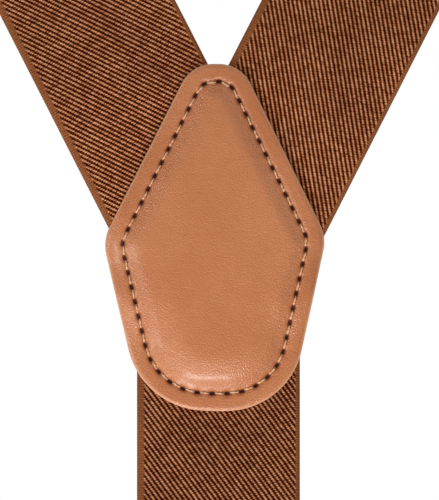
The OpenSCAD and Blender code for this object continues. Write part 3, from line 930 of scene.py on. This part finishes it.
def settle(dip, inset):
    # how the leather's border sinks at one distance from its edge; inside the seam it comes back up
    border = evenOut(dip(outlineAt(min(inset, yoke["seamInset"]), seamPlaces)), yoke["settleSpread"])
    return border * (1 - smooth(0, yoke["settleRun"], inset - yoke["seamInset"]))


def fromSeam(points):
    gaps = np.empty(len(points))
    batch = 2000
    for k in range(0, len(points), batch):
        part = points[k:k + batch]
        gaps[k:k + batch] = np.linalg.norm(part[:, None] - seamLine[None], axis=2).min(1)
    return gaps


def unevenness(x, z):
    # slow hills in the padding
    return np.sin(x * 0.31 + 1.3) * np.sin(z * 0.23 + 0.4) + 0.6 * np.sin(x * 0.12 - z * 0.17)


def leatherPiece(name, out, outward, thickness, dip, crown, rimRound):
    insets = yoke["insets"]
    shares = [1 - (k / yoke["crownRings"]) ** 1.25 for k in range(1, yoke["crownRings"])]
    total = len(seamPlaces)
    heart = np.array(yoke["heart"], float)
    inner = outlineAt(insets[-1], seamPlaces)
    sheets = [outlineAt(inset, seamPlaces) for inset in insets]
    sheets += [heart + (inner - heart) * share for share in shares]
    flat = np.vstack(sheets)
    flatX, flatZ = flat.T
    signed = np.concatenate([np.full(total, inset - yoke["seamInset"]) for inset in insets]
                            + [fromSeam(sheet) for sheet in sheets[len(insets):]])
    phase = np.tile(np.arange(total) / yoke["perStitch"], len(sheets))
    fromHole = (phase - np.round(phase)) * stitchLength
    holeWide, holeLong = yoke["holeReach"]
    holes = np.exp(-(signed / holeWide) ** 2 - (abs(fromHole) / holeLong) ** 3)
    groove = np.exp(-(signed / yoke["grooveReach"]) ** 2)
    puff = smooth(0.2, yoke["crownRun"], signed)
    seamDip = settle(dip, yoke["seamInset"])
    sunk = [settle(dip, inset) for inset in insets]
    crownPart = np.split(signed[len(insets) * total:], len(shares))
    sunk += [seamDip * (1 - smooth(0, yoke["settleRun"], part)) for part in crownPart]
    lift = np.concatenate(sunk) + (crown + yoke["waviness"] * unevenness(flatX, flatZ)) * puff
    lift -= yoke["grooveDepth"] * groove + yoke["holeDepth"] * holes
    fromEdge = signed + yoke["seamInset"]
    lift -= rimRound * np.interp(fromEdge, [0, 0.2, 0.5, 1], [1, 0.5, 0.14, 0])

    def placed(x, height, z):
        return np.stack([x + yoke["aside"], outward * (out + height), z + yokeZ], -1)

    top = placed(flatX, thickness + lift, flatZ)
    # underside: the outline, two rings in, and the middle
    underInsets = (0, 2, insets[-1])
    under = np.vstack([outlineAt(inset, seamPlaces) for inset in underInsets] + [heart[None]])
    underDip = np.concatenate([settle(dip, inset) for inset in underInsets] + [[0]])
    bottom = placed(under[:, 0], underDip, under[:, 1])
    middleTop = placed(heart[:1], np.array([thickness + crown + yoke["tipRise"]]), heart[1:])
    points = np.vstack([top, middleTop, bottom]) * mm
    # rings from the underside's innermost, round the edge, to the crown's innermost
    tip, base = len(flat), len(flat) + 1
    rings = [base + k * total for k in (2, 1, 0)] + [k * total for k in range(len(sheets))]
    faces = [face for a, b in zip(rings, rings[1:]) for face in ringBand(a, b, total)]
    for ring, middle in ((rings[0], len(points) - 1), (rings[-1], tip)):
        faces += [(ring + k, ring + (k + 1) % total, middle) for k in range(total)]
    mesh = bpy.data.meshes.new(name)
    mesh.from_pydata(points.tolist(), [], faces)
    spare = len(points) - len(flat)
    # what the material needs to know, with the values for the crown's middle and for the underside
    facts = {
        "hole": (smooth(0.3, 0.62, holes), 0, 0),
        "puff": (puff, 1, 0),
        "rim": (1 - smooth(0.12, 0.5, fromEdge), 0, 1),
    }
    for word, (values, atTip, beneath) in facts.items():
        filler = [atTip] + [beneath] * (spare - 1)
        mesh.attributes.new(word, "FLOAT", "POINT").data.foreach_set(
            "value", np.concatenate([values, filler]).astype(np.float32))
    tidyMesh(mesh, 1e-6)
    mesh.materials.append(shared("tanLeather", wireLeather))
    return addPiece(name, mesh)


threads = {
    "plyRadius": 0.125,
    "plyOffset": 0.1,
    "turns": 1.5,           # twists of the two plies in one stitch
    "steps": 14,
    "around": 7,
    "rise": 0.22,           # top of a stitch over what it lies on
    "sink": 1.3,            # how far its ends go down their holes
    "slant": 0.3,
    "turnOn": 0.7,          # twist carried on from one stitch to the next
    "rowStitches": 11,      # in a row across a strap
    "rowInset": 4,
    "tailRows": (3, 6),     # over the end of a returned strap
    "foldRows": (4, 8, 18, 22),     # under the end of the back strap's fold
}


def sewStitches(name, stitches, thread):
    # each stitch is (start, end, outward direction), with its twist carried on from the last
    around, steps = threads["around"], threads["steps"]
    t = np.linspace(0.12, 0.88, steps)
    points, faces = [], []
    sink = threads["sink"] * (np.clip(abs(t - 0.5) * 2 - 0.3, 0, 1) / 0.4) ** 2
    for k, (start, end, outward) in enumerate(stitches):
        start, end, outward = (np.array(p, float) for p in (start, end, outward))
        aside = unit(np.cross(unit(end - start), outward))
        spine = start + np.outer(t, end - start) + np.outer(threads["rise"] - sink, outward)
        spine += np.outer((t - 0.5) * threads["slant"], aside)
        for ply in (0, 1):
            turn = t * math.tau * threads["turns"] + ply * math.pi + k * threads["turnOn"]
            middle = spine + np.outer(np.cos(turn), aside) * threads["plyOffset"]
            middle += np.outer(np.sin(turn), outward) * threads["plyOffset"]
            first = len(points)
            for i in range(steps):
                for j in range(around):
                    angle = math.tau * j / around
                    offset = aside * math.cos(angle) + outward * math.sin(angle)
                    points.append(tuple((middle[i] + offset * threads["plyRadius"]) * mm))
            for i in range(steps - 1):
                faces += ringBand(first + i * around, first + (i + 1) * around, around)
            faces.append(tuple(first + j for j in reversed(range(around))))
            faces.append(tuple(first + (steps - 1) * around + j for j in range(around)))
    return addTube(name, points, faces, shared(thread, wireThread, *threadLook[thread]))


def sewSeam(name, out, outward, thickness, dip):
    holes = seamLine[::yoke["perStitch"]]
    lift = settle(dip, yoke["seamInset"])[::yoke["perStitch"]] - yoke["grooveDepth"]
    spots = [(x + yoke["aside"], outward * (out + thickness + l), z + yokeZ) for (x, z), l in zip(holes, lift)]
    stitches = [(spots[k], spots[(k + 1) % len(spots)], (0, outward, 0)) for k in range(len(spots))]
    return sewStitches(name, stitches, "creamThread")


def makeYoke():
    patch = leatherPiece("yoke_leather", patchOut, -1, yoke["thickness"], patchDip,
                         yoke["crown"], yoke["rimRound"])
    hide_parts("yoke_patch")
    # the lining faces the wearer, so its outward side is towards +Y
    lining = leatherPiece("yoke_lining_leather", -liningOut, 1, yoke["liningThickness"], liningDip,
                          yoke["liningCrown"], yoke["liningRimRound"])
    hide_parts("yoke_lining")
    seam = sewSeam("yoke_seam", patchOut, -1, yoke["thickness"], patchDip)
    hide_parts("yoke_stitching")
    innerSeam = sewSeam("yoke_inner_seam", -liningOut, 1, yoke["liningThickness"], liningDip)
    for piece, finish in ((patch, "leather"), (lining, "leather"), (seam, "thread"), (innerSeam, "thread")):
        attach(piece, "root")
    print("yoke made,", stitchCount, "stitches")


makeYoke()


bodyOf = {node: body for body, nodes in frame["record"]["behaviour"]["bodies"].items() for node in nodes}


def sewRows(name, node, x0, out, facing, heights):
    # rows of stitches across a strap, on one face of it
    count, width = threads["rowStitches"], strapRun["width"] - 2 * threads["rowInset"]
    pitch = width / count
    stitches = []
    for z in heights:
        for k in range(count):
            a = x0 - width / 2 + k * pitch
            stitches.append(((a, out, z), (a + pitch, out, z), (0, facing, 0)))
    piece = sewStitches(name, stitches, "brownThread")
    if node:
        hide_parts(node)
    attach(piece, bodyOf[node or "back_end_stitching"])


def sewEnds():
    tailEnd = anchorZ - strapRun["tail"]
    for word, side in sides.items():
        sewRows(f"{word}_return_seam", f"{word}_return_stitching", side * frontX,
                returnOut - sewnGap - halfThick, -1, [tailEnd + rise for rise in threads["tailRows"]])
    foldEnd = ringZ + strapRun["backFold"]
    heights = [foldEnd - drop for drop in threads["foldRows"]]
    sewRows("back_end_seam", "back_end_stitching", 0, -(backOut + halfThick), -1, heights)
    sewRows("back_end_inner_seam", None, 0, -(backOut - sewnGap - halfThick), 1, heights)
    print("strap ends sewn")


sewEnds()


steelwork = {
    "ringWire": 3,
    "ringWidth": 42.4,
    "ringFoot": 29,
    "ringHeight": 12,
    "ringKnee": -5.5,
    "ringBend": 2.2,
    "clipWidth": 26,
    "coverTop": -16.2,      # of a clip lever's cover, from the ring's lower bar
    "coverEnd": -42,
    "coverDome": 0.9,
    "coverOut": 8.9,        # faces of the cover lie further out than this from the ring
    "adjusterCover": (46, -1.8, -19),
    "adjusterDome": 0.5,
    "adjusterOut": 5.15,    # the same from the strap's middle
    "adjusterPinZ": -294,
    "pressLine": 2.6,       # from the cover's edge to the pressed line
    "pressWidth": 0.42,
    "pressDepth": 0.22,
    "adjusterPressDepth": 0.2,
    "pressStep": 0.55,
    "sharpEdge": math.radians(38),
}
clipParts = {
    # how each is made, its finish and the rounding of its edges
    "clip_lever": ("pressed", "satinNickel", 0.28),
    "clip_plate": ("rolled", "satinNickel", 0.2),
    "clip_jaw": ("bent", "satinNickel", 0.2),
    "jaw_pin": ("turned", "polishedNickel", 0.25),
    "lever_pin": ("turned", "polishedNickel", 0.25),
    "clip_spring": ("leaf", "springSteel", 0.06),
    "plate_grip": ("moulded", "brownNylon", 0.12),
    "jaw_grip": ("moulded", "brownNylon", 0.12),
}
adjusterParts = {
    "adjuster_lever": ("pressed", "satinNickel", 0.26),
    "adjuster_frame": ("folded", "satinNickel", 0.2),
    "adjuster_pin": ("turned", "polishedNickel", 0.22),
}


def clipPlace(word):
    # the ring's upper bar, and 1 where the clip faces +Y
    if word in sides:
        return sides[word] * frontX, halfDepth - loopGap / 2, ringZ, 1
    return 0, -(backOut - loopGap / 2), ringZ, -1


def bentWire(name, corners, bendRadius, wireRadius, place, material):
    corners = [np.array(corner, float) for corner in corners]
    arcs = [roundedCorner(corners, k, bendRadius) for k in range(len(corners))]
    line = [arcPoint(arc, i / 8) for arc in arcs for i in range(9)]
    x0, y0, z0 = place
    around, total = 20, len(line)
    points, faces = [], []
    for k in range(total):
        ahead = unit(line[(k + 1) % total] - line[k - 1])
        aside = np.array([ahead[1], -ahead[0]])
        for j in range(around):
            angle = math.tau * j / around
            x, z = line[k] + aside * wireRadius * math.cos(angle)
            points.append(((x0 + x) * mm, (y0 + wireRadius * math.sin(angle)) * mm, (z0 + z) * mm))
        faces += ringBand(k * around, (k + 1) % total * around, around)
    return addTube(name, points, faces, material)


def finishedPart(node, way, finish, edge, press=None):
    # a node's own shape with its sharp edges rounded and its sheet pressed to shape
    mesh = frame["nodes"][node].data.copy()
    work = bmesh.new()
    work.from_mesh(mesh)
    bmesh.ops.remove_doubles(work, verts=work.verts, dist=1e-6)
    bmesh.ops.dissolve_limit(work, angle_limit=math.radians(1), verts=work.verts, edges=work.edges)
    sharp = [e for e in work.edges if len(e.link_faces) == 2 and e.calc_face_angle() > steelwork["sharpEdge"]]
    bmesh.ops.bevel(work, geom=sharp, offset=edge * mm, segments=2, profile=0.6, affect="EDGES",
                    clamp_overlap=True)
    if press:
        press(work)
    bmesh.ops.triangulate(work, faces=[f for f in work.faces if len(f.verts) > 4])
    work.to_mesh(mesh)
    work.free()
    mesh.materials.clear()
    mesh.materials.append(partFinish(finish))
    mesh.shade_smooth()
    mesh.set_sharp_from_angle(angle=math.radians(32))
    piece = addPiece(f"{node}_{way}", mesh)
    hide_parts(node)
    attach(piece, bodyOf[node])


def cutAlong(work, axis, low, high):
    # cuts every face along evenly spaced planes, so that a flat sheet can be bent
    step = steelwork["pressStep"]
    normal = [0, 0, 0]
    normal[axis] = 1
    for cut in np.arange(low + step / 2, high, step):
        spot = [0, 0, 0]
        spot[axis] = cut * mm
        geom = work.verts[:] + work.edges[:] + work.faces[:]
        bmesh.ops.bisect_plane(work, geom=geom, plane_co=spot, plane_no=normal, dist=1e-7)


def pressCover(x0, facing, yFrom, width, zTop, zEnd, dome, groove):
    # domes a cover and presses a line into it a little way in from its edge
    def press(work):
        cutAlong(work, 0, x0 - width / 2, x0 + width / 2)
        cutAlong(work, 2, zEnd, zTop)
        middle = (zTop + zEnd) / 2
        for v in work.verts:
            x, y, z = v.co.x / mm - x0, v.co.y / mm * facing, v.co.z / mm
            if y < yFrom or z > zTop + 0.3 or z < zEnd - 0.3:
                continue
            u, w = abs(x) / (width / 2), abs(z - middle) / ((zTop - zEnd) / 2)
            fromEdge = min(width / 2 - abs(x), (zTop - zEnd) / 2 - abs(z - middle))
            rise = dome * (1 - min(u, 1) ** 2.4) * (1 - min(w, 1) ** 2.4)
            rise -= groove * math.exp(-((fromEdge - steelwork["pressLine"]) / steelwork["pressWidth"]) ** 2)
            v.co.y += facing * rise * mm
    return press


def makeParts(word, parts, press):
    for part, (way, finish, edge) in parts.items():
        finishedPart(f"{word}_{part}", way, finish, edge, press if way == "pressed" else None)


def makeClip(word):
    x0, y0, z0, facing = clipPlace(word)
    w = steelwork
    corners = [
        (w["ringWidth"] / 2, 0), (w["ringWidth"] / 2, w["ringKnee"]), (w["ringFoot"] / 2, -w["ringHeight"]),
        (-w["ringFoot"] / 2, -w["ringHeight"]), (-w["ringWidth"] / 2, w["ringKnee"]), (-w["ringWidth"] / 2, 0),
    ]
    ring = bentWire(f"{word}_ring_wire", corners, w["ringBend"], w["ringWire"] / 2, (x0, y0, z0),
                    partFinish("polishedNickel"))
    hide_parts(f"{word}_ring")
    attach(ring, f"{word}_ring")
    foot = z0 - w["ringHeight"]
    press = pressCover(x0, facing, y0 * facing + w["coverOut"], w["clipWidth"] + 1, foot + w["coverTop"],
                       foot + w["coverEnd"], w["coverDome"], w["pressDepth"])
    makeParts(word, clipParts, press)


def makeAdjuster(side, word):
    w = steelwork
    width, top, end = w["adjusterCover"]
    press = pressCover(side * frontX, 1, halfDepth + w["adjusterOut"], width, w["adjusterPinZ"] + top,
                       w["adjusterPinZ"] + end, w["adjusterDome"], w["adjusterPressDepth"])
    makeParts(word, adjusterParts, press)


for word in (*sides, "back"):
    makeClip(word)
for word, side in sides.items():
    makeAdjuster(side, word)
print("clips and adjusters made")
